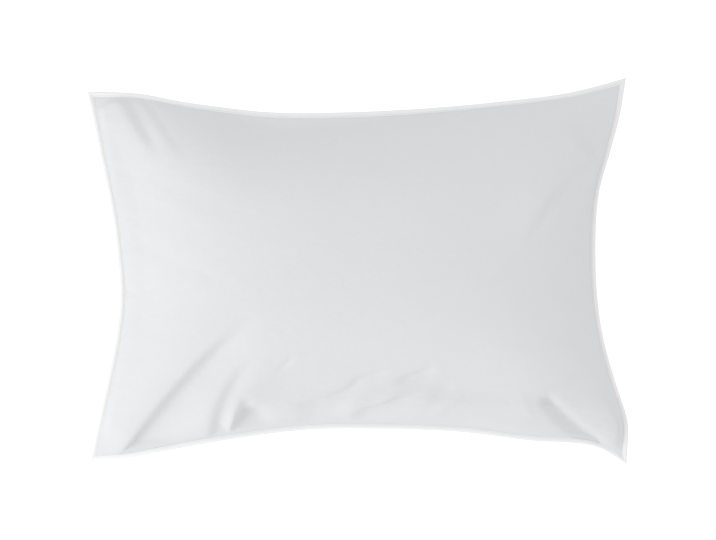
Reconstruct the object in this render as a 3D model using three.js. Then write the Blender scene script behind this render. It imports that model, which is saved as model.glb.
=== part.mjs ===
// A pillow protector drawn over its pillow. Two cloth panels are sewn together all round and filled out
// by the pillow, and the whole lies on its back. Millimetres: +X runs along the length, +Y across the
// width, and +Z up out of the face. The origin is on the surface the pillow lies on, under the middle
// of the outline.
import * as THREE from "three";

// ---- Driving dimensions ----
const SEAM_HEIGHT = 74; // of the seam above the surface, halfway along a side
const FACE_CROWN = 88; // rise of the face panel above the seam, in the middle
const BACK_CROWN = 108; // fall of the back panel below the seam, if nothing held it up
const RESTING_SOFTNESS = 15; // how gradually the back panel lifts off the surface
const EDGE_WIDTH = 6; // of the flat sewn edge outside the stitching
const EDGE_THICKNESS = 3; // the folded seam allowances of both panels
const EDGE_ROUNDING = 1.2; // width of the sewn edge's rounded outer side
const GAP = 0.3; // between the filled cover and the sewn edge
const CORNER_FLATNESS = 0.68; // share of the crown that the unfilled corners lack
const CORNER_EASING = 0.15; // how gently that lack sets in: more keeps it nearer the corners

// How full the cover is along and across: (1 - |position| ^ shoulder) ^ rise
const ALONG = { shoulder: 2.1, rise: 0.4 };
const ACROSS = { shoulder: 3.2, rise: 0.42 };

// The panels' net: spaces along and across, and how far it is gathered towards the seam, from 0 to 1
const SPACES_ALONG = 50;
const SPACES_ACROSS = 36;
const GATHER = 0.5;

// The four corners of the sewn edge's outline, and how far each hangs below the rest of the seam
const CORNERS = {
  nearLeft: { x: -343, y: -244, droop: 30 },
  nearRight: { x: 345.5, y: -247.5, droop: 36 },
  farRight: { x: 344.5, y: 247.5, droop: 24 },
  farLeft: { x: -345.5, y: 230, droop: 27 },
};
const DROOP_REACH = 5; // power of the droop: more keeps it nearer the corner

// How far the filling draws each side in from the straight line between its corners. share is the way
// along the side, from its left or its near end.
const NEAR_SIDE = [
  { share: 0, drawnIn: 0 },
  { share: 0.065, drawnIn: 4 },
  { share: 0.14, drawnIn: 14 },
  { share: 0.25, drawnIn: 28 },
  { share: 0.4, drawnIn: 42 },
  { share: 0.55, drawnIn: 44 },
  { share: 0.7, drawnIn: 40 },
  { share: 0.82, drawnIn: 30 },
  { share: 0.93, drawnIn: 24.5 },
  { share: 0.955, drawnIn: 19 },
  { share: 1, drawnIn: 0 },
];
const FAR_SIDE = [
  { share: 0, drawnIn: 0 },
  { share: 0.1, drawnIn: 5 },
  { share: 0.17, drawnIn: 15.5 },
  { share: 0.26, drawnIn: 26 },
  { share: 0.34, drawnIn: 33 },
  { share: 0.48, drawnIn: 35.5 },
  { share: 0.63, drawnIn: 33 },
  { share: 0.78, drawnIn: 26 },
  { share: 0.89, drawnIn: 18 },
  { share: 0.96, drawnIn: 7.5 },
  { share: 1, drawnIn: 0 },
];
const LEFT_SIDE = [
  { share: 0, drawnIn: 0 },
  { share: 0.11, drawnIn: 12.5 },
  { share: 0.27, drawnIn: 30 },
  { share: 0.355, drawnIn: 37.5 },
  { share: 0.44, drawnIn: 41.5 },
  { share: 0.52, drawnIn: 40 },
  { share: 0.68, drawnIn: 31 },
  { share: 0.84, drawnIn: 16 },
  { share: 0.93, drawnIn: 7.5 },
  { share: 1, drawnIn: 0 },
];
const RIGHT_SIDE = [
  { share: 0, drawnIn: 0 },
  { share: 0.12, drawnIn: -0.5 },
  { share: 0.16, drawnIn: 6 },
  { share: 0.27, drawnIn: 23 },
  { share: 0.35, drawnIn: 32.5 },
  { share: 0.44, drawnIn: 38 },
  { share: 0.53, drawnIn: 40 },
  { share: 0.7, drawnIn: 35.5 },
  { share: 0.82, drawnIn: 19 },
  { share: 0.9, drawnIn: 8.5 },
  { share: 1, drawnIn: 0 },
];

// The face panel's main folds: soft troughs that run in from the seam, where the filling stops short of
// the corners. start and end are in the plan, bow is how far the fold swerves to the left of the
// straight line between them, and fade is the share of its length over which it dies away at its end.
const FOLDS = [
  // Near left: a long one, a short one and a pocket
  { start: [-306, -232], end: [-150, -58], bow: 4, depth: 11, width: 14, fade: 0.5 },
  { start: [-196, -216], end: [-160, -130], bow: 3, depth: 9, width: 11, fade: 0.6 },
  { start: [-150, -206], end: [-142, -160], bow: 0, depth: 12, width: 13, fade: 0.8 },
  // Near middle and near right
  { start: [-40, -172], end: [98, -118], bow: 6, depth: 6, width: 13, fade: 0.4 },
  { start: [296, -218], end: [226, -156], bow: 4, depth: 12, width: 13, fade: 0.4 },
  // Far left: an outer and an inner one
  { start: [-302, 218], end: [-256, 146], bow: 2, depth: 9, width: 12, fade: 0.5 },
  { start: [-268, 212], end: [-224, 160], bow: 0, depth: 8, width: 13, fade: 0.6 },
  // Far right
  { start: [302, 128], end: [212, 18], bow: 14, depth: 8, width: 14, fade: 0.6 },
];
const FOLD_POINTS = 24; // places looked at along a fold
const DEEPEST_SHARE = 0.6; // a fold takes at most this share of the filling's height above the seam

// ---- The plan ----

// The drawn-in depth at any share of a side, smooth between the rows of its table.
function drawnInAlong(side) {
  const shares = side.map((row) => row.share);
  const depths = side.map((row) => row.drawnIn);
  const smooth = new THREE.CubicInterpolant(shares, depths, 1);
  return (share) => smooth.evaluate(share)[0];
}

const nearDrawnIn = drawnInAlong(NEAR_SIDE);
const farDrawnIn = drawnInAlong(FAR_SIDE);
const leftDrawnIn = drawnInAlong(LEFT_SIDE);
const rightDrawnIn = drawnInAlong(RIGHT_SIDE);

// The place in the plan at shares s along and t across. The outline is where either is 0 or 1, and the
// shape of its sides dies away towards the middle.
function planAt(s, t) {
  const { nearLeft, nearRight, farRight, farLeft } = CORNERS;
  const dying = (share) => (1 - share) ** 2;
  const near = new THREE.Vector2(nearLeft.x, nearLeft.y).lerp(nearRight, s);
  const far = new THREE.Vector2(farLeft.x, farLeft.y).lerp(farRight, s);
  const inFromLeft = leftDrawnIn(t) * dying(s) - rightDrawnIn(t) * dying(1 - s);
  const inFromNear = nearDrawnIn(s) * dying(t) - farDrawnIn(s) * dying(1 - t);
  return near.lerp(far, t).add(new THREE.Vector2(inFromLeft, inFromNear));
}

// The same place, for a piece whose edge lies a distance inside the outline.
function planWithin(s, t, distance) {
  const within = (share, inset) => THREE.MathUtils.lerp(inset, 1 - inset, share);
  const length = planAt(1, t).x - planAt(0, t).x;
  const width = planAt(s, 1).y - planAt(s, 0).y;
  return planAt(within(s, distance / length), within(t, distance / width));
}

// The net's lines, as shares from 0 to 1, gathered towards both ends.
function netLines(spaces) {
  return Array.from({ length: spaces + 1 }, (_, line) => {
    const even = line / spaces;
    const gathered = (1 - Math.cos(Math.PI * even)) / 2;
    return THREE.MathUtils.lerp(even, gathered, GATHER);
  });
}

const linesAlong = netLines(SPACES_ALONG);
const linesAcross = netLines(SPACES_ACROSS);

// ---- The seam ----

// The height of the seam's middle at shares s along and t across, which falls away to the corners.
function seamHeight(s, t) {
  const { nearLeft, nearRight, farRight, farLeft } = CORNERS;
  const hang = (corner, shareAlong, shareAcross) =>
    corner.droop *
    Math.max(0, 2 * shareAlong - 1) ** DROOP_REACH *
    Math.max(0, 2 * shareAcross - 1) ** DROOP_REACH;
  return (
    SEAM_HEIGHT -
    hang(nearLeft, 1 - s, 1 - t) -
    hang(nearRight, s, 1 - t) -
    hang(farRight, s, t) -
    hang(farLeft, 1 - s, t)
  );
}

// The shares [s, t] of the places where the net's lines meet the outline, counter-clockwise from near
// left.
const seamShares = [
  ...linesAlong.slice(0, -1).map((s) => [s, 0]),
  ...linesAcross.slice(0, -1).map((t) => [1, t]),
  ...linesAlong.slice(1).reverse().map((s) => [s, 1]),
  ...linesAcross.slice(1).reverse().map((t) => [0, t]),
];

// ---- The filled cover ----

// How full the cover is at shares s along and t across: 0 on the seam and 1 in the middle.
function fullness(s, t) {
  const [u, v] = [Math.abs(2 * s - 1), Math.abs(2 * t - 1)];
  const along = (1 - u ** ALONG.shoulder) ** ALONG.rise;
  const across = (1 - v ** ACROSS.shoulder) ** ACROSS.rise;
  const lack = ((1 + CORNER_EASING) * (u * v) ** 2) / (u * v + CORNER_EASING);
  return along * across * (1 - CORNER_FLATNESS * lack);
}

// The line of a fold in the plan, as evenly spaced points from its start to its end.
function foldLine({ start, end, bow }) {
  const from = new THREE.Vector2(...start);
  const to = new THREE.Vector2(...end);
  const leftwards = new THREE.Vector2(from.y - to.y, to.x - from.x).normalize();
  const middle = from.clone().lerp(to, 0.5).addScaledVector(leftwards, 2 * bow);
  return new THREE.QuadraticBezierCurve(from, middle, to).getPoints(FOLD_POINTS);
}

const foldLines = FOLDS.map((fold) => ({ ...fold, points: foldLine(fold) }));

// How deep the folds are at a place in the plan.
function foldDepth(plan) {
  return foldLines.reduce((total, { points, depth, width, fade }) => {
    const distances = points.map((point) => point.distanceTo(plan));
    const nearest = Math.min(...distances);
    const share = distances.indexOf(nearest) / FOLD_POINTS;
    const dyingAway = 1 - THREE.MathUtils.smoothstep(share, 1 - fade, 1);
    return total + depth * dyingAway * Math.exp(-((nearest / width) ** 2));
  }, 0);
}

// A height kept above the surface: flat at 0 well below it, itself well above it, smooth in between.
function resting(height) {
  const above = THREE.MathUtils.clamp(height, -RESTING_SOFTNESS, RESTING_SOFTNESS) + RESTING_SOFTNESS;
  return Math.max(height, above ** 2 / (4 * RESTING_SOFTNESS));
}

// One closed solid: the face panel's net, the back panel's net, and the narrow wall that joins them.
function filledCover() {
  const positions = [];
  linesAlong.forEach((s) =>
    linesAcross.forEach((t) => {
      const plan = planWithin(s, t, EDGE_WIDTH + GAP);
      const seam = seamHeight(s, t);
      const rise = FACE_CROWN * fullness(s, t);
      const fold = Math.min(foldDepth(plan), DEEPEST_SHARE * rise);
      const face = seam + EDGE_THICKNESS / 2 + rise - fold;
      const back = resting(seam - EDGE_THICKNESS / 2 - BACK_CROWN * fullness(s, t));
      positions.push(plan.x, plan.y, face, plan.x, plan.y, back);
    }),
  );
  const faceAt = (i, j) => 2 * (i * (SPACES_ACROSS + 1) + j);
  const backAt = (i, j) => faceAt(i, j) + 1;
  const triangles = [];
  const quad = (a, b, c, d) => triangles.push(a, b, c, a, c, d);
  for (let i = 0; i < SPACES_ALONG; i++) {
    for (let j = 0; j < SPACES_ACROSS; j++) {
      const face = [faceAt(i, j), faceAt(i + 1, j), faceAt(i + 1, j + 1), faceAt(i, j + 1)];
      const back = [backAt(i, j), backAt(i, j + 1), backAt(i + 1, j + 1), backAt(i + 1, j)];
      // Each quad is split along the diagonal that points at the middle, as the folds do.
      const firstDiagonal = (2 * i + 1 - SPACES_ALONG) * (2 * j + 1 - SPACES_ACROSS) > 0;
      [face, back].forEach(([a, b, c, d]) => (firstDiagonal ? quad(a, b, c, d) : quad(b, c, d, a)));
    }
  }
  const [right, far] = [SPACES_ALONG, SPACES_ACROSS];
  for (let i = 0; i < right; i++) {
    quad(backAt(i, 0), backAt(i + 1, 0), faceAt(i + 1, 0), faceAt(i, 0));
    quad(faceAt(i, far), faceAt(i + 1, far), backAt(i + 1, far), backAt(i, far));
  }
  for (let j = 0; j < far; j++) {
    quad(faceAt(0, j), faceAt(0, j + 1), backAt(0, j + 1), backAt(0, j));
    quad(backAt(right, j), backAt(right, j + 1), faceAt(right, j + 1), faceAt(right, j));
  }
  return solidOf(positions, triangles);
}

// ---- The sewn edge ----

// A closed ring: the section of the edge carried round the outline. Each section point is a distance in
// from the outline and a height above the seam's middle.
function sewnEdge() {
  const half = EDGE_THICKNESS / 2;
  const section = [
    { inwards: EDGE_WIDTH, height: -half },
    { inwards: EDGE_ROUNDING, height: -half },
    { inwards: 0, height: 0 },
    { inwards: EDGE_ROUNDING, height: half },
    { inwards: EDGE_WIDTH, height: half },
  ];
  const positions = section.flatMap(({ inwards, height }) =>
    seamShares.flatMap(([s, t]) => {
      const plan = planWithin(s, t, inwards);
      return [plan.x, plan.y, seamHeight(s, t) + height];
    }),
  );
  const round = seamShares.length;
  const triangles = section.flatMap((_, row) =>
    seamShares.flatMap((_, place) => {
      const nextRow = (row + 1) % section.length;
      const nextPlace = (place + 1) % round;
      const [a, b] = [row * round + place, row * round + nextPlace];
      const [d, c] = [nextRow * round + place, nextRow * round + nextPlace];
      return [a, b, c, a, c, d];
    }),
  );
  return solidOf(positions, triangles);
}

// ---- The model ----

function solidOf(positions, triangles) {
  const geometry = new THREE.BufferGeometry();
  geometry.setAttribute("position", new THREE.Float32BufferAttribute(positions, 3));
  geometry.setIndex(triangles);
  geometry.computeVertexNormals();
  return geometry;
}

function part(name, geometry, material) {
  const mesh = new THREE.Mesh(geometry, material);
  mesh.name = name;
  return mesh;
}

const panelCloth = new THREE.MeshStandardMaterial({ color: 0xe3e4e6, roughness: 0.85, metalness: 0 });
const edgeCloth = new THREE.MeshStandardMaterial({ color: 0xebeced, roughness: 0.8, metalness: 0 });

const protector = new THREE.Group();
protector.name = "pillow_protector";
protector.add(part("filled_cover", filledCover(), panelCloth), part("sewn_edge", sewnEdge(), edgeCloth));

// The middle of the outline's box goes over the origin.
const middle = new THREE.Box3().setFromObject(protector).getCenter(new THREE.Vector3());
protector.position.set(-middle.x, -middle.y, 0);

export default protector;
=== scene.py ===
"""A white pillow protector, filled out by its pillow and lying on its back.

Two flat cloth panels are sewn together all round. Their seam is drawn in to the outline of the packed
sewn edge while a cloth simulation blows them up, and folds are then laid in where the filling stops
short of the corners. The sewn edge and its topstitching follow the same outline. Everything is in
metres, with +X along the length, +Y across the width and +Z up out of the face.
"""

import math
from typing import NamedTuple

import bmesh
import bpy
import numpy as np
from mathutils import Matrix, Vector


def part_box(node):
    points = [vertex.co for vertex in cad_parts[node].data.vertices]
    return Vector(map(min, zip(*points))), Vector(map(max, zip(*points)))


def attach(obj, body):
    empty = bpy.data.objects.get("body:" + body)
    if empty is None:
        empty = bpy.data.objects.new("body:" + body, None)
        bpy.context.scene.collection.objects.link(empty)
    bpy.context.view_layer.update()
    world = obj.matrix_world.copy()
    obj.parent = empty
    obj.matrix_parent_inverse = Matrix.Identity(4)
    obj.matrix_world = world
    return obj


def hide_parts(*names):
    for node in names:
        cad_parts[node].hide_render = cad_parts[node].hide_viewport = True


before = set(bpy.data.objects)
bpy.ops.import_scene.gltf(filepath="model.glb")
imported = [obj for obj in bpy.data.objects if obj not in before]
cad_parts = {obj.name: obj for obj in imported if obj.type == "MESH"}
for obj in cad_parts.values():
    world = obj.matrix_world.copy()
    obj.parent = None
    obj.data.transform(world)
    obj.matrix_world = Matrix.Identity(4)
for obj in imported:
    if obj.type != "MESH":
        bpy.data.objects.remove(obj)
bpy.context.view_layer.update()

bl_info = {
    "name": "Pillow protector",
    "version": (1, 0, 0),
    "blender": (4, 5, 0),
    "location": "3D View > Sidebar > Protector",
    "description": "Builds a filled pillow protector with its sewn edge, topstitching and stage",
    "category": "Object",
}

MM = 0.001
BODY = "root"
CUT_MAP = "cut"  # the UV map that holds each piece of cloth as it was cut, in metres
INWARD = "inward"  # the rim's attribute that leads from its outer side to the stitching
RIM_SPACING = 1.2 * MM  # between the points of the lines that the edge and its stitches follow

AIR = 12 * MM  # how far each panel bows out before it is blown up
FINE_LINES = 271, 181  # lines of the finished net along and across the panels
BULGE_PASSES = 60  # of evening out, which part the broad bulges from the creases
BULGE_SHARE = 0.35  # of the simulated bulges' height that is kept
# How the crown falls away towards each side: a higher power keeps it flat for longer
LEFT_POWER, RIGHT_POWER = 2.4, 2.5
NEAR_POWER, FAR_POWER = 1.9, 2.2
SEAM_SPACING = 6 * MM  # between the points of the seam that the cloth is kept inside
FLOOR_TURN = 15 * MM  # how softly the cloth turns on to the floor
SEAM_ZONE = 12 * MM  # how far inside the seam the folds come to their full height
TROUGH_SHARE = 0.8  # of the cloth's height over the seam that a trough may take away
UNDER_SEAM = 8 * MM  # how far a trough may go under the seam's height
STITCH_HEIGHT = 0.28  # of the edge's thickness, from its middle to the thread's

KEY_PLACE = (-2.57, -1.22, 1.1)
KEY_AIM = (0.0, 0.0, 0.1)
KEY_SIZE = 2.0
FLOOR_REACH = 9.0
FLOOR_DROP = 0.2 * MM


# ---- Folds ----


class Fold(NamedTuple):
    """A trough in the face panel, or a roll of cloth where depth is below zero. Its line runs in plan
    millimetres from start through middle to end, left and right are how far it spreads on either side
    of that way, and fades are the shares of the line over which it comes in and dies away."""

    start: tuple
    middle: tuple
    end: tuple
    depth: float
    left: float
    right: float
    fades: tuple = (0.1, 0.4)


FOLDS = [
    # Near left: the long fold with its roll and crease, a bent one, and the pocket at the seam
    Fold((-297, -250), (-215, -146), (-121, -55), 15.0, 8.5, 38, fades=(0.04, 0.5)),
    Fold((-322, -230), (-243, -122), (-149, -34), -5.0, 45, 28, fades=(0.15, 0.5)),
    Fold((-302, -246), (-221, -141), (-143, -66), 5.0, 4, 5, fades=(0.08, 0.5)),
    Fold((-174, -226), (-168, -170), (-122, -104), 6.0, 9, 14, fades=(0.05, 0.4)),
    Fold((-146, -232), (-145, -198), (-138, -162), 7.0, 9, 60, fades=(0.05, 0.6)),
    Fold((-146, -232), (-146, -197), (-137, -162), 11.0, 8, 12, fades=(0.05, 0.6)),
    Fold((-120, -236), (-129, -205), (-139, -178), 14.0, 18, 14, fades=(0.05, 0.45)),
    Fold((-166, -210), (-158, -190), (-147, -160), -4.0, 8, 7, fades=(0.3, 0.5)),
    # Near middle: a broad hollow, and drag lines in it that rise towards the right
    Fold((-200, -186), (20, -152), (330, -178), 20.0, 60, 30, fades=(0.3, 0.35)),
    Fold((-90, -180), (-30, -172), (8, -146), 6.0, 5.5, 9, fades=(0.3, 0.4)),
    Fold((-14, -158), (12, -143), (48, -134), 3.5, 5, 8, fades=(0.35, 0.4)),
    Fold((-84, -196), (-40, -187), (0, -172), 4.0, 8, 18, fades=(0.4, 0.4)),
    Fold((42, -154), (74, -142), (106, -126), 5.0, 5, 10, fades=(0.4, 0.4)),
    Fold((-14, -192), (36, -181), (92, -164), 6.0, 5.5, 12, fades=(0.3, 0.4)),
    Fold((16, -180), (56, -161), (98, -140), -2.5, 6, 5, fades=(0.3, 0.4)),
    Fold((88, -178), (108, -165), (126, -152), 2.0, 10, 8, fades=(0.45, 0.4)),
    Fold((90, -190), (116, -178), (142, -166), -1.6, 5, 5, fades=(0.3, 0.4)),
    Fold((-106, -136), (-92, -123), (-77, -110), 1.5, 3, 3, fades=(0.3, 0.4)),
    # Near right: the fold that points at the corner with its roll, a faint roll beside it, and a ridge
    # at the corner itself
    Fold((316, -228), (262, -189), (237, -158), 10.0, 8, 9, fades=(0.12, 0.25)),
    Fold((226, -196), (214, -174), (203, -150), -1.5, 14, 8, fades=(0.3, 0.4)),
    Fold((346, -226), (328, -192), (296, -140), -6.0, 36, 8, fades=(0.35, 0.45)),
    # Right: a broad roll along the side, and a long soft bend with a line along it
    Fold((290, 190), (262, 10), (284, -150), -4.0, 30, 110, fades=(0.3, 0.3)),
    Fold((310, 142), (256, 96), (206, 0), -7.0, 38, 50, fades=(0.15, 0.5)),
    Fold((304, 138), (244, 97), (203, 14), -4.0, 8, 45, fades=(0.12, 0.5)),
    Fold((302, 139), (251, 98), (208, 16), 5.0, 6, 6, fades=(0.15, 0.5)),
    # Far left: two folds, a broad roll beside them that falls away into a hollow, and a small pucker
    Fold((-303, 240), (-273, 186), (-244, 140), 6.0, 16, 9, fades=(0.1, 0.45)),
    Fold((-272, 228), (-246, 188), (-205, 135), 6.0, 60, 11, fades=(0.1, 0.55)),
    Fold((-286, 236), (-256, 176), (-212, 90), -8.0, 85, 55, fades=(0.1, 0.5)),
    Fold((-125, 234), (-120, 170), (-108, 80), 12.0, 130, 70, fades=(0.05, 0.6)),
    Fold((-122, 205), (-113, 195), (-104, 183), 2.4, 4, 4, fades=(0.2, 0.5)),
    # Left: a small pucker, and a faint groove along the side
    Fold((-300, -25), (-290, -27), (-278, -28), 1.2, 4, 4, fades=(0.2, 0.5)),
    Fold((-320, 210), (-273, 30), (-290, -140), 4.0, 60, 16, fades=(0.2, 0.3)),
]


# ---- Small helpers ----


def new_object(name, data):
    """An object at the origin, in the scene."""
    piece = bpy.data.objects.new(name, data)
    bpy.context.scene.collection.objects.link(piece)
    return piece


# ---- Settings ----


class CoverSettings(bpy.types.PropertyGroup):
    """Sizes and colours of the two filled panels."""

    cut_length: bpy.props.FloatProperty(
        name="Cut length",
        description="Length of each flat panel between its seams",
        default=0.7,
        unit="LENGTH",
    )
    cut_width: bpy.props.FloatProperty(
        name="Cut width", description="Width of each flat panel between its seams", default=0.5, unit="LENGTH"
    )
    eased_length: bpy.props.FloatProperty(
        name="Eased length",
        description="How much shorter the panels are along their middle",
        default=0.06,
        unit="LENGTH",
    )
    eased_width: bpy.props.FloatProperty(
        name="Eased width",
        description="How much narrower the panels are across their middle",
        default=0.038,
        unit="LENGTH",
    )
    spaces_along: bpy.props.IntProperty(
        name="Spaces along", description="Spaces of the simulated net along the length", default=84, min=14
    )
    pressure: bpy.props.FloatProperty(
        name="Pressure", description="How hard the filling presses the cloth out", default=12.0, min=0.0
    )
    stiffness: bpy.props.FloatProperty(
        name="Stiffness", description="How hard the cloth resists bending", default=1.0, min=0.0
    )
    face_crown: bpy.props.FloatProperty(
        name="Face crown", description="Height of the face over its seam", default=0.098, unit="LENGTH"
    )
    back_crown: bpy.props.FloatProperty(
        name="Back crown",
        description="Depth of the back under its seam, before it rests",
        default=0.1,
        unit="LENGTH",
    )
    liveliness: bpy.props.FloatProperty(
        name="Liveliness",
        description="Share of the simulated creases that is kept",
        default=0.08,
        min=0.0,
        max=1.0,
        subtype="FACTOR",
    )
    steps: bpy.props.IntProperty(
        name="Steps",
        description="Simulated steps, of which the first third draw the seam in",
        default=36,
        min=3,
    )
    rim_clearance: bpy.props.FloatProperty(
        name="Rim clearance",
        description="How far the cloth stays inside its seam, as a share of its height over it",
        default=0.22,
        min=0.0,
        subtype="FACTOR",
    )
    colour: bpy.props.FloatVectorProperty(
        name="Colour",
        description="Colour of the panels",
        size=4,
        default=(0.76, 0.768, 0.778, 1),
        subtype="COLOR",
    )
    thread_pitch: bpy.props.FloatProperty(
        name="Thread pitch", description="Distance between threads", default=0.0005, unit="LENGTH"
    )


class EdgeSettings(bpy.types.PropertyGroup):
    """Sizes and colours of the flat sewn edge."""

    width: bpy.props.FloatProperty(
        name="Width", description="From the outer side to the panels' seam", default=0.006, unit="LENGTH"
    )
    tucked: bpy.props.FloatProperty(
        name="Tucked in", description="How far it runs on under the panels", default=0.0015, unit="LENGTH"
    )
    thickness: bpy.props.FloatProperty(
        name="Thickness", description="Of the folded seam allowances", default=0.0026, unit="LENGTH"
    )
    ripple: bpy.props.FloatProperty(
        name="Ripple", description="How far the outer side waves up and down", default=0.0016, unit="LENGTH"
    )
    ripple_length: bpy.props.FloatProperty(
        name="Ripple length", description="Distance between waves", default=0.07, unit="LENGTH"
    )
    seed: bpy.props.IntProperty(name="Seed", description="Picks another set of waves", default=7)
    # Lighter than the panels' cloth: partly the folded layers' own whiter colour, partly painted light that
    # makes up for the shade the swelling panels cast on the edge.
    colour: bpy.props.FloatVectorProperty(
        name="Colour",
        description="Colour of the edge",
        size=4,
        default=(0.9, 0.904, 0.908, 1),
        subtype="COLOR",
    )


class StitchSettings(bpy.types.PropertyGroup):
    """Sizes and colours of the topstitching."""

    pitch: bpy.props.FloatProperty(
        name="Pitch", description="From one stitch to the next", default=0.003, unit="LENGTH"
    )
    length: bpy.props.FloatProperty(
        name="Length", description="Length of thread that shows in a stitch", default=0.0024, unit="LENGTH"
    )
    thread: bpy.props.FloatProperty(
        name="Thread", description="Diameter of the thread", default=0.00045, unit="LENGTH"
    )
    inset: bpy.props.FloatProperty(
        name="Inset", description="From the outer side to the row", default=0.0053, unit="LENGTH"
    )
    seed: bpy.props.IntProperty(name="Seed", description="Picks another unevenness", default=3)
    colour: bpy.props.FloatVectorProperty(
        name="Colour",
        description="Colour of the thread",
        size=4,
        default=(0.8, 0.806, 0.812, 1),
        subtype="COLOR",
    )


class StageSettings(bpy.types.PropertyGroup):
    """Camera, light and floor."""

    view_width: bpy.props.FloatProperty(
        name="View width", description="Width that the camera sees at the seam", default=0.9145, unit="LENGTH"
    )
    focal_length: bpy.props.FloatProperty(
        name="Focal length", description="Lens of the camera, in millimetres", default=600.0, unit="CAMERA"
    )
    off_middle: bpy.props.FloatVectorProperty(
        name="Off middle",
        description="How far the view's middle is from the cover's",
        size=2,
        default=(0.0006, 0.0013),
        unit="LENGTH",
        precision=4,
    )
    key_power: bpy.props.FloatProperty(
        name="Key power", description="Power of the light from the left", default=25.5, unit="POWER"
    )
    sky: bpy.props.FloatProperty(
        name="Sky", description="Strength of the even light from all round", default=0.882, min=0.0
    )
    floor_glow: bpy.props.FloatProperty(
        name="Floor glow", description="Light that the pale floor gives off itself", default=0.64, min=0.0
    )


# ---- The outline ----


class Side(NamedTuple):
    """One side of the outline, as points and their shares of the way along it."""

    shares: np.ndarray
    points: np.ndarray

    @classmethod
    def through(cls, points):
        lengths = np.linalg.norm(np.diff(points, axis=0), axis=1)
        way = np.concatenate([[0.0], np.cumsum(lengths)])
        return cls(way / way[-1], points)

    def bend_at(self, share):
        """How far the side is from the straight line between its ends."""
        at = np.stack([np.interp(share, self.shares, self.points[:, axis]) for axis in range(3)], axis=-1)
        return at - between(self.points[0], self.points[-1], share)


def between(a, b, share):
    """The place a share of the way from a to b, for arrays of shares."""
    return a + (b - a) * np.asarray(share)[..., None]


class Outline:
    """The sewn edge's outer line, and the net of places s along and t across that it bounds."""

    def __init__(self, node):
        rim = outer_line(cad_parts[node].data)
        along, across = rim[:, 0], rim[:, 1]
        near_right, far_right, far_left = (
            int(np.argmax(reach)) for reach in (along - across, along + across, across - along)
        )
        rim = np.concatenate([rim, rim[:1]])
        self.near = Side.through(rim[: near_right + 1])
        self.right = Side.through(rim[near_right : far_right + 1])
        self.far = Side.through(rim[far_right : far_left + 1][::-1])
        self.left = Side.through(rim[far_left:][::-1])

    def place(self, s, t):
        """The place at shares s and t. The sides' own shape dies away towards the middle."""
        near = between(self.near.points[0], self.near.points[-1], s)
        far = between(self.far.points[0], self.far.points[-1], s)
        straight = near + (far - near) * t[..., None]

        def dying(share):
            return ((1 - share) ** 2)[..., None]

        return (
            straight
            + self.near.bend_at(s) * dying(t)
            + self.far.bend_at(s) * dying(1 - t)
            + self.left.bend_at(t) * dying(s)
            + self.right.bend_at(t) * dying(1 - s)
        )

    def within(self, s, t, distance):
        """The same place, for a piece whose side lies a distance inside the outline."""
        zero, one = np.zeros_like(s), np.ones_like(s)
        along = distance / np.linalg.norm(self.place(one, t) - self.place(zero, t), axis=-1)
        across = distance / np.linalg.norm(self.place(s, one) - self.place(s, zero), axis=-1)
        return self.place(along + s * (1 - 2 * along), across + t * (1 - 2 * across))

    def round_shares(self, spacing):
        """Shares s and t once round the outline from the near left corner, about a spacing apart."""
        rising, falling = [], []
        for side in (self.near, self.right, self.far, self.left):
            length = np.linalg.norm(np.diff(side.points, axis=0), axis=1).sum()
            count = round(length / spacing)
            rising.append(np.arange(count) / count)
            falling.append(1 - rising[-1])
        s = np.concatenate([rising[0], np.ones_like(rising[1]), falling[2], np.zeros_like(falling[3])])
        t = np.concatenate([np.zeros_like(rising[0]), rising[1], np.ones_like(falling[2]), falling[3]])
        return s, t


def outer_line(mesh):
    """The line where the CAD edge's upper side meets its lower side, from the near left corner towards
    +X. It is where a face that leans up meets one that leans down."""
    leaning = 0.02
    solid = bmesh.new()
    solid.from_mesh(mesh)
    bmesh.ops.remove_doubles(solid, verts=solid.verts, dist=1e-6)
    solid.normal_update()
    meets = {}
    for edge in solid.edges:
        tilts = [face.normal.z for face in edge.link_faces]
        if min(tilts) < -leaning and max(tilts) > leaning:
            for a, b in (edge.verts, reversed(edge.verts)):
                meets.setdefault(a, []).append(b)
    first = min(meets, key=lambda corner: corner.co.x + corner.co.y)
    line = [first, max(meets[first], key=lambda corner: corner.co.x)]
    while True:
        onward = next(corner for corner in meets[line[-1]] if corner is not line[-2])
        if onward is first:
            break
        line.append(onward)
    places = np.array([corner.co for corner in line])
    solid.free()
    return places


# ---- The filled cover ----


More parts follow.
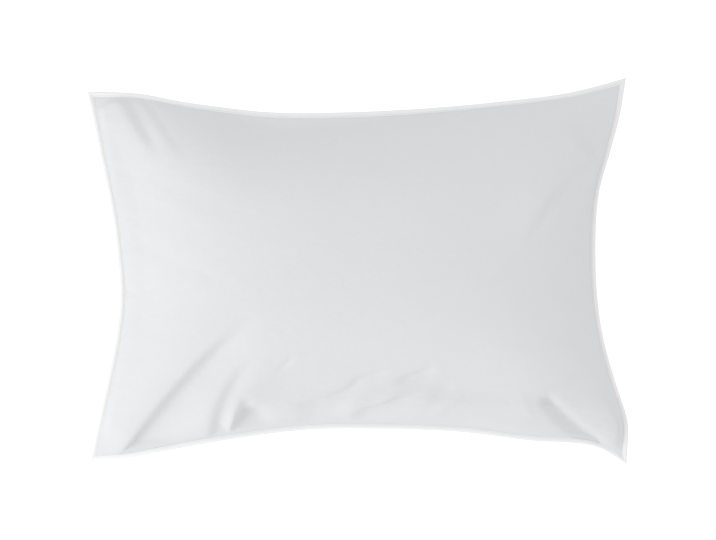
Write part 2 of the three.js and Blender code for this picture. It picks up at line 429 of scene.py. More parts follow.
class Panels:
    """The net of the two panels at shares along and across them: a face grid, and a back grid that
    shares its outermost points."""

    def __init__(self, along, across):
        shape = len(along), len(across)
        self.s, self.t = np.meshgrid(along, across, indexing="ij")
        self.face = np.arange(self.s.size).reshape(shape)
        self.inner = np.zeros(shape, bool)
        self.inner[1:-1, 1:-1] = True
        self.back = self.face.copy()
        self.back[self.inner] = self.s.size + np.arange(self.inner.sum())

    @classmethod
    def even(cls, spaces_along, spaces_across):
        return cls(np.linspace(0, 1, spaces_along + 1), np.linspace(0, 1, spaces_across + 1))

    def joined(self, face, back):
        """One array of points from the face grid's and the back grid's."""
        return np.concatenate([face.reshape(-1, face.shape[-1]), back[self.inner]])

    def quads(self):
        """The faces, the face panel's first. Both panels' faces point away from the filling."""
        face, back = self.face, self.back
        upward = np.stack([face[:-1, :-1], face[1:, :-1], face[1:, 1:], face[:-1, 1:]], axis=-1)
        downward = np.stack([back[:-1, :-1], back[:-1, 1:], back[1:, 1:], back[1:, :-1]], axis=-1)
        return np.concatenate([upward.reshape(-1, 4), downward.reshape(-1, 4)])

    def as_cut(self, settings, height):
        """The grid as a flat panel at a height, a little shorter and narrower along its middle."""
        along, across = self.s - 0.5, self.t - 0.5
        length = settings.cut_length - settings.eased_length * (1 - 4 * across**2)
        width = settings.cut_width - settings.eased_width * (1 - 4 * along**2)
        return np.stack([along * length, across * width, np.full(along.shape, height)], axis=-1)

    def mesh(self, name, places, settings):
        """A mesh of both panels at these places, with the cloth's own map as it was cut."""
        mesh = bpy.data.meshes.new(name)
        mesh.from_pydata(places.tolist(), [], self.quads().tolist())
        corners = np.zeros(len(mesh.loops), int)
        mesh.loops.foreach_get("vertex_index", corners)
        flat = self.as_cut(settings, 0.0)
        cut = self.joined(flat, flat)[corners, :2] + (settings.cut_length / 2, settings.cut_width / 2)
        cut[len(corners) // 2 :, 1] += settings.cut_width
        mesh.uv_layers.new(name=CUT_MAP).data.foreach_set("uv", cut.ravel())
        return mesh


def blown_up(panels, seam, settings):
    """The panels' places once their seam is drawn in to its line and the filling presses them out."""
    flat = panels.as_cut(settings, seam[..., 2].max())
    air = np.zeros_like(flat)
    air[..., 2] = AIR * np.sqrt(np.sin(np.pi * panels.s) * np.sin(np.pi * panels.t))
    mesh = panels.mesh("cover_in_simulation", panels.joined(flat + air, flat - air), settings)
    cover = new_object(mesh.name, mesh)

    on_seam = [int(place) for place in panels.face[~panels.inner]]
    pinned = cover.vertex_groups.new(name="seam")
    pinned.add(on_seam, 1.0, "REPLACE")
    cover.shape_key_add(name="as_cut")
    drawn_in = cover.shape_key_add(name="drawn_in")
    for place, position in zip(on_seam, seam[~panels.inner]):
        drawn_in.data[place].co = position
    for value, step in ((0.0, 1), (1.0, settings.steps // 3)):
        drawn_in.value = value
        drawn_in.keyframe_insert("value", frame=step)

    cloth = cover.modifiers.new("Cloth", "CLOTH")
    cloth.settings.quality = 8
    cloth.settings.mass = 0.15
    cloth.settings.air_damping = 5
    cloth.settings.tension_stiffness = 60
    cloth.settings.compression_stiffness = 10
    cloth.settings.shear_stiffness = 8
    cloth.settings.bending_stiffness = settings.stiffness
    cloth.settings.use_pressure = True
    cloth.settings.uniform_pressure_force = settings.pressure
    cloth.settings.vertex_group_mass = pinned.name
    cloth.settings.pin_stiffness = 50
    cloth.settings.effector_weights.gravity = 0
    cloth.collision_settings.use_collision = False
    cloth.point_cache.frame_end = settings.steps
    for step in range(1, settings.steps + 1):
        bpy.context.scene.frame_set(step)
    filled = evaluated_mesh(cover)
    bpy.data.objects.remove(cover)
    bpy.context.scene.frame_set(1)
    return places_of(filled)


def crowned(panels, seam, crown):
    """A panel's grid on its own plain crown, which is steepest at the seam and flattest in the middle."""
    along, across = 2 * panels.s - 1, 2 * panels.t - 1
    full_along = 1 - np.abs(along) ** np.where(along < 0, LEFT_POWER, RIGHT_POWER)
    full_across = 1 - np.abs(across) ** np.where(across < 0, NEAR_POWER, FAR_POWER)
    plain = seam.copy()
    plain[..., 2] += crown * full_along * full_across
    return plain


def smoothed(grid, passes):
    """The inner points of a grid evened out with their neighbours, while its outermost ones stay."""
    grid = grid.copy()
    for _ in range(passes):
        grid[1:-1] = (grid[:-2] + 2 * grid[1:-1] + grid[2:]) / 4
        grid[:, 1:-1] = (grid[:, :-2] + 2 * grid[:, 1:-1] + grid[:, 2:]) / 4
    return grid


def resampled(grid, along, across):
    """A grid's values at finer shares along and across it, on smooth curves through its own."""
    for shares in (along, across):
        last = len(grid) - 1
        before = np.clip(np.floor(shares * last).astype(int), 0, last - 1)
        f = (shares * last - before).reshape(-1, 1, 1)
        four = [grid[np.clip(before + step, 0, last)] for step in (-1, 0, 1, 2)]
        weights = [
            (-(f**3) + 2 * f**2 - f) / 2,
            (3 * f**3 - 5 * f**2 + 2) / 2,
            (-3 * f**3 + 4 * f**2 + f) / 2,
            (f**3 - f**2) / 2,
        ]
        grid = sum(weight * values for weight, values in zip(weights, four)).swapaxes(0, 1)
    return grid


def filled_panels(outline, settings, seam_inset):
    """The finished net of the panels and its places: plain crowns, with the bulges of the simulated
    cloth and a share of its creases."""
    spaces_across = round(settings.spaces_along * settings.cut_width / settings.cut_length)
    coarse = Panels.even(settings.spaces_along, spaces_across)
    seam = outline.within(coarse.s, coarse.t, seam_inset)
    blown = blown_up(coarse, seam, settings)
    along, across = np.linspace(0, 1, FINE_LINES[0]), closer_at_ends(FINE_LINES[1])
    fine = Panels(along, across)
    fine_seam = outline.within(fine.s, fine.t, seam_inset)
    grids = []
    for indices, crown in ((coarse.face, settings.face_crown), (coarse.back, -settings.back_crown)):
        swelling = blown[indices] - crowned(coarse, seam, crown)
        bulges = smoothed(swelling, BULGE_PASSES)
        creases = swelling - bulges
        bulges[..., 2] *= BULGE_SHARE
        kept = bulges + settings.liveliness * creases
        grids.append(crowned(fine, fine_seam, crown) + resampled(kept, along, across))
    return fine, fine.joined(*grids)


def closer_at_ends(count, crowding=0.35):
    """Shares from 0 to 1 that lie closer together near both ends."""
    even = np.linspace(0, 1, count)
    return even - crowding * np.sin(2 * np.pi * even) / (2 * np.pi)


def evaluated_mesh(piece):
    """A plain mesh of a piece with its modifiers applied."""
    graph = bpy.context.evaluated_depsgraph_get()
    return bpy.data.meshes.new_from_object(piece.evaluated_get(graph))


def with_modifiers_applied(piece):
    """The same piece with its modifiers made part of its mesh."""
    mesh = evaluated_mesh(piece)
    piece.modifiers.clear()
    piece.data = mesh
    return piece


def places_of(mesh):
    """A mesh's points as an array."""
    places = np.zeros(len(mesh.vertices) * 3)
    mesh.vertices.foreach_get("co", places)
    return places.reshape(-1, 3)


def normals_of(mesh):
    """The normals at a mesh's points as an array."""
    normals = np.zeros(len(mesh.vertices) * 3)
    mesh.vertices.foreach_get("normal", normals)
    return normals.reshape(-1, 3)


def put_places(mesh, places):
    """Moves a mesh's points to these places."""
    mesh.vertices.foreach_set("co", places.ravel())
    mesh.update()


def above(value, least, softness):
    """A value kept above a least one: itself well above it, with a smooth turn."""
    over = np.clip(value - least, -softness, softness) + softness
    return np.maximum(value, least + over**2 / (4 * softness))


def nearest_on_loop(places, loop):
    """For each place, its plan distance inside a counter-clockwise loop, the way inwards from there and
    the loop's height there."""
    a, b = loop, np.roll(loop, -1, axis=0)
    run = (b - a)[:, :2]
    lengths = np.linalg.norm(run, axis=1)
    best = np.full(len(places), np.inf)
    inside, height = np.zeros(len(places)), np.zeros(len(places))
    inwards = np.zeros((len(places), 2))
    for i in range(len(loop)):
        to = places[:, :2] - a[i, :2]
        share = np.clip(to @ run[i] / lengths[i] ** 2, 0, 1)
        apart = to - share[:, None] * run[i]
        distance = np.linalg.norm(apart, axis=1)
        inward = np.array([-run[i, 1], run[i, 0]]) / lengths[i]
        closer = distance < best
        best[closer] = distance[closer]
        inside[closer] = (apart @ inward)[closer]
        inwards[closer] = inward
        height[closer] = (a[i, 2] + share * (b[i, 2] - a[i, 2]))[closer]
    return inside, inwards, height


def kept_inside_seam(places, loop, clearance):
    """The places moved inwards where the cloth would bulge out past its own seam."""
    inside, inwards, height = nearest_on_loop(places, loop)
    least = clearance * np.abs(places[:, 2] - height)
    softness = least / 3 + 1e-6
    moved = places.copy()
    moved[:, :2] += inwards * (above(inside, least, softness) - inside)[:, None]
    return moved


def smooth_step(value):
    """A value's soft rise from 0 at 0 to 1 at 1."""
    value = np.clip(value, 0, 1)
    return value * value * (3 - 2 * value)


def fold_line(fold, count=28):
    """Even points along a fold's line, a curve that passes through its middle."""
    share = np.linspace(0, 1, count)[:, None]
    start, middle, end = (np.array(point, float) * MM for point in (fold.start, fold.middle, fold.end))
    pull = 2 * middle - (start + end) / 2
    return (1 - share) ** 2 * start + 2 * share * (1 - share) * pull + share**2 * end


def fold_height(fold, places):
    """How far a fold lifts each place out of the face, which is below zero in a trough."""
    line = fold_line(fold)
    best = np.full(len(places), np.inf)
    offset, share = np.zeros(len(places)), np.zeros(len(places))
    for i, (a, b) in enumerate(zip(line[:-1], line[1:])):
        run = b - a
        length = np.linalg.norm(run)
        to = places[:, :2] - a
        on = np.clip(to @ run / length**2, 0, 1)
        distance = np.linalg.norm(to - on[:, None] * run, axis=1)
        closer = distance < best
        best[closer] = distance[closer]
        leftwards = (to[:, 1] * run[0] - to[:, 0] * run[1]) / length
        offset[closer] = (np.sign(leftwards) * distance)[closer]
        share[closer] = ((i + on) / (len(line) - 1))[closer]
    come_in, die_away = fold.fades
    strength = smooth_step(share / come_in) * smooth_step((1 - share) / die_away)
    spread = MM * np.where(offset > 0, fold.left, fold.right)
    return -fold.depth * MM * strength * np.exp(-((offset / spread) ** 2))


def face_lift(panels, places, loop):
    """How far the folds lift each place. A trough goes hardly under the seam's height, a roll dies away
    at the seam, and the back has no laid folds."""
    inside, _, seam_height = nearest_on_loop(places, loop)
    lift = sum(fold_height(fold, places) for fold in FOLDS)
    come_in = smooth_step(inside / SEAM_ZONE)
    over_seam = np.maximum(places[:, 2] - seam_height, 0)
    room = TROUGH_SHARE * over_seam + UNDER_SEAM * come_in + 1e-6
    lift = np.where(lift < 0, room * np.tanh(lift / room), lift * come_in)
    lift[panels.s.size :] = 0
    return lift


def make_cover(outline, settings, edge):
    """Both panels, filled and folded, as one closed piece."""
    panels, places = filled_panels(outline, settings, edge.width)
    s, t = outline.round_shares(SEAM_SPACING)
    loop = outline.within(s, t, edge.width)
    places = kept_inside_seam(places, loop, settings.rim_clearance)
    places[:, 2] = above(places[:, 2], 0.0, FLOOR_TURN)
    mesh = panels.mesh("cover_cloth", places, settings)
    put_places(mesh, places + normals_of(mesh) * face_lift(panels, places, loop)[:, None])
    shade_smooth(mesh)
    return new_object("cover_cloth", mesh)


def shade_smooth(mesh):
    """Shades all of a mesh's faces smooth."""
    mesh.polygons.foreach_set("use_smooth", [True] * len(mesh.polygons))
    mesh.update()


# ---- Node trees ----


class Tree:
    """Short ways to add nodes to a tree and join their sockets."""

    def __init__(self, tree):
        self.tree = tree

    def add(self, kind, inputs=None, **settings):
        """A node with its settings, and its inputs set to values or joined to sockets."""
        node = self.tree.nodes.new(kind)
        for name, value in settings.items():
            setattr(node, name, value)
        for name, value in (inputs or {}).items():
            self.feed(node.inputs[name], value)
        return node

    def feed(self, socket, value):
        """Joins a socket to another one, or sets it to a value."""
        if isinstance(value, bpy.types.NodeSocket):
            self.tree.links.new(value, socket)
        else:
            socket.default_value = value

    def maths(self, operation, *values):
        """The result of a sum on numbers."""
        return self.add("ShaderNodeMath", dict(enumerate(values)), operation=operation).outputs[0]

    def vector_maths(self, operation, *values):
        """The result of a sum on vectors. A scale takes its number last."""
        node = self.tree.nodes.new("ShaderNodeVectorMath")
        node.operation = operation
        names = (0, "Scale") if operation == "SCALE" else range(len(values))
        for name, value in zip(names, values):
            self.feed(node.inputs[name], value)
        return node.outputs[0]


# ---- Finishes ----


def new_material(name):
    """A material with its tree and its shader."""
    material = bpy.data.materials.new(name)
    material.use_nodes = True
    return material, Tree(material.node_tree), material.node_tree.nodes["Principled BSDF"]


def toned(colour, factor):
    """A colour made darker or lighter by a factor."""
    return tuple(min(1.0, channel * factor) for channel in colour[:3]) + (1.0,)


def cloth_finish(name, colour, pitch, mottling=0.015):
    """Fine plain-woven cloth: threads over and under, uneven yarn, soft creases and a slight sheen."""
    material, tree, shader = new_material(name)
    cut = tree.add("ShaderNodeUVMap", uv_map=CUT_MAP).outputs["UV"]
    threads = tree.vector_maths("SCALE", cut, math.pi / pitch)
    split = tree.add("ShaderNodeSeparateXYZ", {"Vector": threads})
    warp, weft = (tree.maths("COSINE", split.outputs[axis]) for axis in ("X", "Y"))
    over = tree.add(
        "ShaderNodeMapRange", {"Value": tree.maths("MULTIPLY", warp, weft), "From Min": -0.5, "From Max": 0.5}
    ).outputs["Result"]
    weave = tree.add(
        "ShaderNodeMix",
        {"Factor": over, "A": tree.maths("MULTIPLY", weft, weft), "B": tree.maths("MULTIPLY", warp, warp)},
    ).outputs["Result"]

    def uneven(scale_along, scale_across, detail=2.0):
        stretched = tree.vector_maths("MULTIPLY", cut, (scale_along, scale_across, 1))
        noise = tree.add("ShaderNodeTexNoise", {"Vector": stretched, "Scale": 1.0, "Detail": detail})
        return noise.outputs["Fac"]

    slubs = tree.maths("ADD", uneven(60, 1400), uneven(1400, 60))
    blotches = uneven(28, 34, 4.0)
    creases = uneven(70, 110, 5.0)
    height = tree.maths("ADD", tree.maths("MULTIPLY", weave, 0.6), tree.maths("MULTIPLY", slubs, 0.35))
    soft = tree.add("ShaderNodeBump", {"Strength": 0.35, "Distance": 0.002, "Height": creases})
    fine = tree.add(
        "ShaderNodeBump",
        {"Strength": 0.5, "Distance": 0.25 * pitch, "Height": height, "Normal": soft.outputs["Normal"]},
    )
    tone = tree.maths("ADD", tree.maths("MULTIPLY", blotches, 0.7), tree.maths("MULTIPLY", slubs, 0.3))
    ends = {"Factor": tone, "A": toned(colour, 1 - mottling), "B": toned(colour, 1 + mottling)}
    tinted = tree.add("ShaderNodeMix", ends, data_type="RGBA")
    tree.feed(shader.inputs["Base Color"], tinted.outputs["Result"])
    rough = tree.add("ShaderNodeMapRange", {"Value": slubs, "To Min": 0.8, "To Max": 0.94}).outputs["Result"]
    tree.feed(shader.inputs["Roughness"], rough)
    tree.feed(shader.inputs["Normal"], fine.outputs["Normal"])
    shader.inputs["Specular IOR Level"].default_value = 0.25
    shader.inputs["Sheen Weight"].default_value = 0.12
    shader.inputs["Sheen Roughness"].default_value = 0.5
    return material


def thread_finish(colour):
    """Sewing thread, twisted from fine fibres."""
    material, tree, shader = new_material("thread")
    place = tree.add("ShaderNodeTexCoord").outputs["Object"]
    twist = tree.add("ShaderNodeTexNoise", {"Vector": place, "Scale": 4000.0, "Detail": 1.0}).outputs["Fac"]
    bump = tree.add("ShaderNodeBump", {"Strength": 0.3, "Distance": 0.0001, "Height": twist})
    ends = {"Factor": twist, "A": toned(colour, 0.94), "B": toned(colour, 1.0)}
    tinted = tree.add("ShaderNodeMix", ends, data_type="RGBA")
    tree.feed(shader.inputs["Base Color"], tinted.outputs["Result"])
    tree.feed(shader.inputs["Normal"], bump.outputs["Normal"])
    shader.inputs["Roughness"].default_value = 0.6
    shader.inputs["Sheen Weight"].default_value = 0.1
    return material


# ---- The sewn edge and its stitches ----

# The edge's section, from its outer side in along the top and back along the underside. inwards is a
# share of its width, and height a share of half its thickness. The dip is where the stitches press.
EDGE_SECTION = [
    {"inwards": 0.0, "height": 0.0},
    {"inwards": 0.02, "height": 0.5},
    {"inwards": 0.08, "height": 0.85},
    {"inwards": 0.18, "height": 1.0},
    {"inwards": 0.4, "height": 1.05},
    {"inwards": 0.54, "height": 1.0},
    {"inwards": 0.62, "height": 0.8},
    {"inwards": 0.69, "height": 0.5},
    {"inwards": 0.76, "height": 0.42},
    {"inwards": 0.84, "height": 0.4},
    {"inwards": 1.0, "height": 0.15},
]


def rim_path(name, outline, width):
    """The outline as a closed line of edges, each point with its way in to the end of the edge."""
    s, t = outline.round_shares(RIM_SPACING)
    outer = outline.place(s, t)
    count = len(outer)
    mesh = bpy.data.meshes.new(name)
    mesh.from_pydata(outer.tolist(), [(i, (i + 1) % count) for i in range(count)], [])
    inward = mesh.attributes.new(INWARD, "FLOAT_VECTOR", "POINT")
    inward.data.foreach_set("vector", (outline.within(s, t, width) - outer).ravel())
    return new_object(name, mesh)


def section_curve(section):
    """A closed curve of a section, with its shares inwards in X and its heights in Y."""
    lower = [{"inwards": row["inwards"], "height": -row["height"]} for row in section[:0:-1]]
    rows = section + lower
    curve = bpy.data.curves.new("edge_section", "CURVE")
    spline = curve.splines.new("POLY")
    spline.points.add(len(rows) - 1)
    for point, row in zip(spline.points, rows):
        point.co = (row["inwards"], row["height"], 0, 1)
    spline.use_cyclic_u = True
    return new_object("edge_section", curve)


def node_group(name, inputs):
    """A Geometry Nodes tree with a Geometry input and output and the named inputs."""
    group = bpy.data.node_groups.new(name, "GeometryNodeTree")
    group.interface.new_socket("Geometry", in_out="INPUT", socket_type="NodeSocketGeometry")
    for label, kind in inputs.items():
        group.interface.new_socket(label, in_out="INPUT", socket_type=kind)
    group.interface.new_socket("Geometry", in_out="OUTPUT", socket_type="NodeSocketGeometry")
    tree = Tree(group)
    return group, tree, tree.add("NodeGroupInput").outputs, tree.add("NodeGroupOutput").inputs


def finished(tree, geometry, material, output):
    """Ends a tree: real geometry with its material."""
    real = tree.add("GeometryNodeRealizeInstances", {"Geometry": geometry}).outputs["Geometry"]
    painted = tree.add("GeometryNodeSetMaterial", {"Geometry": real, "Material": material})
    tree.feed(output, painted.outputs["Geometry"])


def made_by(group, piece, values):
    """The piece with the group's result as its mesh. The values go in by their sockets' identifiers."""
    modifier = piece.modifiers.new(group.name, "NODES")
    modifier.node_group = group
    for socket in group.interface.items_tree:
        if socket.item_type == "SOCKET" and socket.in_out == "INPUT" and socket.name in values:
            modifier[socket.identifier] = values[socket.name]
    return with_modifiers_applied(piece)


def captured(tree, geometry, domain="POINT", **fields):
    """The geometry with fields stored on it, and the stored fields by name."""
    node = tree.add("GeometryNodeCaptureAttribute", {"Geometry": geometry}, domain=domain)
    for place, (name, (kind, field)) in enumerate(fields.items(), start=1):
        node.capture_items.new(kind, name)
        tree.feed(node.inputs[place], field)
    stored = {name: node.outputs[place] for place, name in enumerate(fields, start=1)}
    return node.outputs["Geometry"], stored


def edge_group():
    """Sweeps a section along the rim, with ripples in its outer side."""
    group, tree, given, output = node_group(
        "sewn_edge_sweep",
        {
            "Section": "NodeSocketObject",
            "Thickness": "NodeSocketFloat",
            "Width": "NodeSocketFloat",
            "Ripple": "NodeSocketFloat",
            "Ripple length": "NodeSocketFloat",
            "Seed": "NodeSocketInt",
            "Material": "NodeSocketMaterial",
        },
    )
    line = tree.add("GeometryNodeMeshToCurve", {"Mesh": given["Geometry"]}).outputs["Curve"]
    inward = tree.add("GeometryNodeInputNamedAttribute", {"Name": INWARD}, data_type="FLOAT_VECTOR")
    line, on_line = captured(
        tree,
        line,
        place=("VECTOR", tree.add("GeometryNodeInputPosition").outputs["Position"]),
        inward=("VECTOR", inward.outputs["Attribute"]),
        way=("FLOAT", tree.add("GeometryNodeSplineParameter").outputs["Length"]),
    )
    section = tree.add("GeometryNodeObjectInfo", {"Object": given["Section"]}).outputs["Geometry"]
    section, on_section = captured(
        tree, section, place=("VECTOR", tree.add("GeometryNodeInputPosition").outputs["Position"])
    )
    swept = tree.add("GeometryNodeCurveToMesh", {"Curve": line, "Profile Curve": section}).outputs["Mesh"]
    parts = tree.add("ShaderNodeSeparateXYZ", {"Vector": on_section["place"]}).outputs
    waves = tree.add(
        "ShaderNodeTexNoise",
        {
            "Vector": on_line["place"],
            "W": tree.maths("MULTIPLY", given["Seed"], 3.7),
            "Scale": tree.maths("DIVIDE", 1.0, given["Ripple length"]),
            "Detail": 2.0,
        },
        noise_dimensions="4D",
    ).outputs["Fac"]
    outer_share = tree.maths("SUBTRACT", 1.0, parts["X"])
    ripple = tree.maths(
        "MULTIPLY", tree.maths("MULTIPLY", tree.maths("SUBTRACT", waves, 0.5), given["Ripple"]), outer_share
    )
    half = tree.maths("MULTIPLY", given["Thickness"], 0.5)
    height = tree.maths("ADD", tree.maths("MULTIPLY", parts["Y"], half), ripple)
    upward = tree.add("ShaderNodeCombineXYZ", {"Z": height}).outputs["Vector"]
    reach = tree.vector_maths("SCALE", on_line["inward"], parts["X"])
    place = tree.vector_maths("ADD", tree.vector_maths("ADD", on_line["place"], reach), upward)
    placed = tree.add("GeometryNodeSetPosition", {"Geometry": swept, "Position": place}).outputs["Geometry"]
    across = tree.maths("MULTIPLY", parts["X"], given["Width"])
    across = tree.maths("ADD", across, tree.maths("MULTIPLY", parts["Y"], given["Thickness"]))
    mapped = tree.add(
        "GeometryNodeStoreNamedAttribute",
        {
            "Geometry": placed,
            "Name": CUT_MAP,
            "Value": tree.add("ShaderNodeCombineXYZ", {"X": on_line["way"], "Y": across}).outputs["Vector"],
        },
        data_type="FLOAT2",
        domain="CORNER",
    ).outputs["Geometry"]
    smooth = tree.add("GeometryNodeSetShadeSmooth", {"Geometry": mapped}).outputs["Geometry"]
    finished(tree, smooth, given["Material"], output["Geometry"])
    return group


def stitch_group():
    """Lays stitches of thread along a line inside the rim, on its upper and its lower side."""
    group, tree, given, output = node_group(
        "stitch_row",
        {
            "Pitch": "NodeSocketFloat",
            "Length": "NodeSocketFloat",
            "Thread": "NodeSocketFloat",
            "Share": "NodeSocketFloat",
            "Height": "NodeSocketFloat",
            "Seed": "NodeSocketInt",
            "Material": "NodeSocketMaterial",
        },
    )
    line = tree.add("GeometryNodeMeshToCurve", {"Mesh": given["Geometry"]}).outputs["Curve"]
    inward = tree.add("GeometryNodeInputNamedAttribute", {"Name": INWARD}, data_type="FLOAT_VECTOR")
    reach = tree.vector_maths("SCALE", inward.outputs["Attribute"], given["Share"])
    ball = tree.add("GeometryNodeMeshUVSphere", {"Segments": 8, "Rings": 5, "Radius": 0.5}).outputs["Mesh"]
    long = tree.add(
        "ShaderNodeCombineXYZ", {"X": given["Length"], "Y": given["Thread"], "Z": given["Thread"]}
    ).outputs["Vector"]
    stitch = tree.add("GeometryNodeTransform", {"Geometry": ball, "Scale": long}).outputs["Geometry"]
    rows = tree.add("GeometryNodeJoinGeometry")
    for side in (1.0, -1.0):
        lift = tree.add("ShaderNodeCombineXYZ", {"Z": tree.maths("MULTIPLY", given["Height"], side)})
        offset = tree.vector_maths("ADD", reach, lift.outputs["Vector"])
        row = tree.add("GeometryNodeSetPosition", {"Geometry": line, "Offset": offset}).outputs["Geometry"]
        spacing = {"Curve": row, "Length": given["Pitch"]}
        spaced = tree.add("GeometryNodeResampleCurve", spacing, mode="LENGTH")
        tangent = tree.add("GeometryNodeInputTangent").outputs["Tangent"]
        turn = tree.add("FunctionNodeAlignRotationToVector", {"Vector": tangent}, axis="X")
        size = tree.add(
            "FunctionNodeRandomValue",
            {"Min": (0.9, 0.9, 0.8), "Max": (1.04, 1.1, 1.1), "Seed": given["Seed"]},
            data_type="FLOAT_VECTOR",
        ).outputs["Value"]
        laid = tree.add(
            "GeometryNodeInstanceOnPoints",
            {
                "Points": spaced.outputs["Curve"],
                "Instance": stitch,
                "Rotation": turn.outputs["Rotation"],
                "Scale": size,
            },
        )
        tree.tree.links.new(laid.outputs["Instances"], rows.inputs["Geometry"])
    smooth = tree.add("GeometryNodeSetShadeSmooth", {"Geometry": rows.outputs["Geometry"]})
    finished(tree, smooth.outputs["Geometry"], given["Material"], output["Geometry"])
    return group


def turned_outwards(mesh):
    """Makes a closed mesh's faces point outwards."""
    shell = bmesh.new()
    shell.from_mesh(mesh)
    bmesh.ops.recalc_face_normals(shell, faces=shell.faces)
    shell.to_mesh(mesh)
    shell.free()


# ---- Operators ----


class PROTECTOR_OT_fill_cover(bpy.types.Operator):
    """Blows up the two sewn panels and lays their folds"""

    bl_idname = "protector.fill_cover"
    bl_label = "Fill the cover"

    def execute(self, context):
        settings = context.scene.protector_cover
        cover = make_cover(Outline("sewn_edge"), settings, context.scene.protector_edge)
        cover.data.materials.clear()
        cover.data.materials.append(cloth_finish("panel_cloth", settings.colour, settings.thread_pitch))
        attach(cover, BODY)
        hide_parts("filled_cover")
        return {"FINISHED"}


class PROTECTOR_OT_sew_edge(bpy.types.Operator):
    """Sweeps the flat sewn edge round the cover"""

    bl_idname = "protector.sew_edge"
    bl_label = "Sew the edge"

    def execute(self, context):
        settings = context.scene.protector_edge
        pitch = context.scene.protector_cover.thread_pitch
        width = settings.width + settings.tucked
        edge = rim_path("edge_cloth", Outline("sewn_edge"), width)
        section = section_curve(EDGE_SECTION)
        values = {
            "Section": section,
            "Thickness": settings.thickness,
            "Width": width,
            "Ripple": settings.ripple,
            "Ripple length": settings.ripple_length,
            "Seed": settings.seed,
            # The edge cloth's lighter colour is partly painted light, making up for the shade the panels cast
            # on it.
            "Material": cloth_finish("edge_cloth", settings.colour, pitch),
        }
        made_by(edge_group(), edge, values)
        bpy.data.objects.remove(section)
        turned_outwards(edge.data)
        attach(edge, BODY)
        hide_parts("sewn_edge")
        return {"FINISHED"}


class PROTECTOR_OT_topstitch(bpy.types.Operator):
    """Lays the rows of topstitching on both sides of the edge"""

    bl_idname = "protector.topstitch"
    bl_label = "Topstitch"

    def execute(self, context):
        settings = context.scene.protector_stitches
        edge = context.scene.protector_edge
        width = edge.width + edge.tucked
        stitches = rim_path("topstitching", Outline("sewn_edge"), width)
        values = {
            "Pitch": settings.pitch,
            "Length": settings.length,
            "Thread": settings.thread,
            "Share": settings.inset / width,
            "Height": STITCH_HEIGHT * edge.thickness,
            "Seed": settings.seed,
            "Material": thread_finish(settings.colour),
        }
        made_by(stitch_group(), stitches, values)
        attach(stitches, BODY)
        return {"FINISHED"}


class PROTECTOR_OT_set_stage(bpy.types.Operator):
    """Sets up the camera, the light and the pale floor"""

    bl_idname = "protector.set_stage"
    bl_label = "Set the stage"

    def execute(self, context):
        settings = context.scene.protector_stage
        add_camera(context.scene, settings)
        add_light(context.scene, settings)
        add_floor(settings)
        context.scene.view_settings.view_transform = "Standard"
        return {"FINISHED"}


def add_camera(scene, settings):
    """A camera straight above the cover, far off behind a long lens."""
    low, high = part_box("sewn_edge")
    camera = bpy.data.cameras.new("camera")
    camera.lens = settings.focal_length
    eye = new_object("camera", camera)
    middle = (low + high) / 2
    distance = settings.view_width * camera.lens / camera.sensor_width
    aside, up = settings.off_middle
    eye.location = (middle.x + aside, middle.y + up, high.z + distance)
    scene.camera = eye


def add_light(scene, settings):
    """A large soft light low on the left, in an even white surround."""
    key = bpy.data.lights.new("key_light", "AREA")
    key.shape = "DISK"
    key.size = KEY_SIZE
    key.energy = settings.key_power
    lamp = new_object("key_light", key)
    lamp.location = KEY_PLACE
    lamp.rotation_euler = (Vector(KEY_AIM) - lamp.location).to_track_quat("-Z", "Y").to_euler()
    scene.world = bpy.data.worlds.new("surround")
    scene.world.use_nodes = True
    background = scene.world.node_tree.nodes["Background"]
    background.inputs["Color"].default_value = (1, 1, 1, 1)
    background.inputs["Strength"].default_value = settings.sky


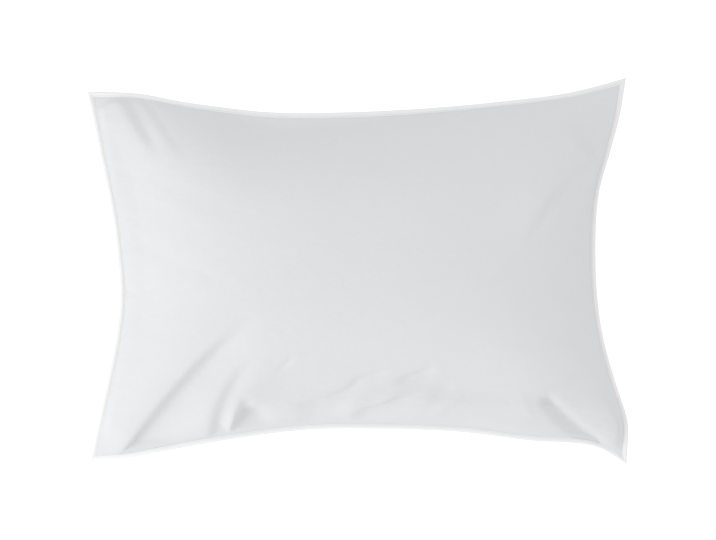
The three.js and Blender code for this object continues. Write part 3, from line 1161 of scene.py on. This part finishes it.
def add_floor(settings):
    """A wide pale floor just under the cover. Its glow is seen by cameras and lights nothing else."""
    mesh = bpy.data.meshes.new("floor")
    turns = ((-1, -1), (1, -1), (1, 1), (-1, 1))
    corners = [(x * FLOOR_REACH, y * FLOOR_REACH, -FLOOR_DROP) for x, y in turns]
    mesh.from_pydata(corners, [], [(0, 1, 2, 3)])
    material, tree, shader = new_material("floor")
    shader.inputs["Base Color"].default_value = (0.88, 0.88, 0.88, 1)
    shader.inputs["Roughness"].default_value = 0.9
    shader.inputs["Specular IOR Level"].default_value = 0.0
    shader.inputs["Emission Color"].default_value = (1, 1, 1, 1)
    seen = tree.add("ShaderNodeLightPath").outputs["Is Camera Ray"]
    tree.feed(shader.inputs["Emission Strength"], tree.maths("MULTIPLY", seen, settings.floor_glow))
    mesh.materials.append(material)
    return new_object("floor", mesh)


class PROTECTOR_PT_panel(bpy.types.Panel):
    """The protector's operators and settings"""

    bl_idname = "PROTECTOR_PT_panel"
    bl_label = "Pillow protector"
    bl_space_type = "VIEW_3D"
    bl_region_type = "UI"
    bl_category = "Protector"

    def draw(self, context):
        for operator, name in STEPS:
            box = self.layout.box()
            box.operator(operator.bl_idname)
            settings = getattr(context.scene, name)
            for label in settings.__annotations__:
                box.prop(settings, label)


SETTINGS = {
    "protector_cover": CoverSettings,
    "protector_edge": EdgeSettings,
    "protector_stitches": StitchSettings,
    "protector_stage": StageSettings,
}
STEPS = [
    (PROTECTOR_OT_set_stage, "protector_stage"),
    (PROTECTOR_OT_fill_cover, "protector_cover"),
    (PROTECTOR_OT_sew_edge, "protector_edge"),
    (PROTECTOR_OT_topstitch, "protector_stitches"),
]
CLASSES = [*SETTINGS.values(), *(operator for operator, _ in STEPS), PROTECTOR_PT_panel]


def register():
    for cls in CLASSES:
        bpy.utils.register_class(cls)
    for name, settings in SETTINGS.items():
        setattr(bpy.types.Scene, name, bpy.props.PointerProperty(type=settings))


def unregister():
    for name in SETTINGS:
        delattr(bpy.types.Scene, name)
    for cls in reversed(CLASSES):
        bpy.utils.unregister_class(cls)


def main():
    """Builds everything."""
    register()
    bpy.ops.protector.set_stage()
    bpy.ops.protector.fill_cover()
    bpy.ops.protector.sew_edge()
    bpy.ops.protector.topstitch()


if __name__ == "__main__":
    main()
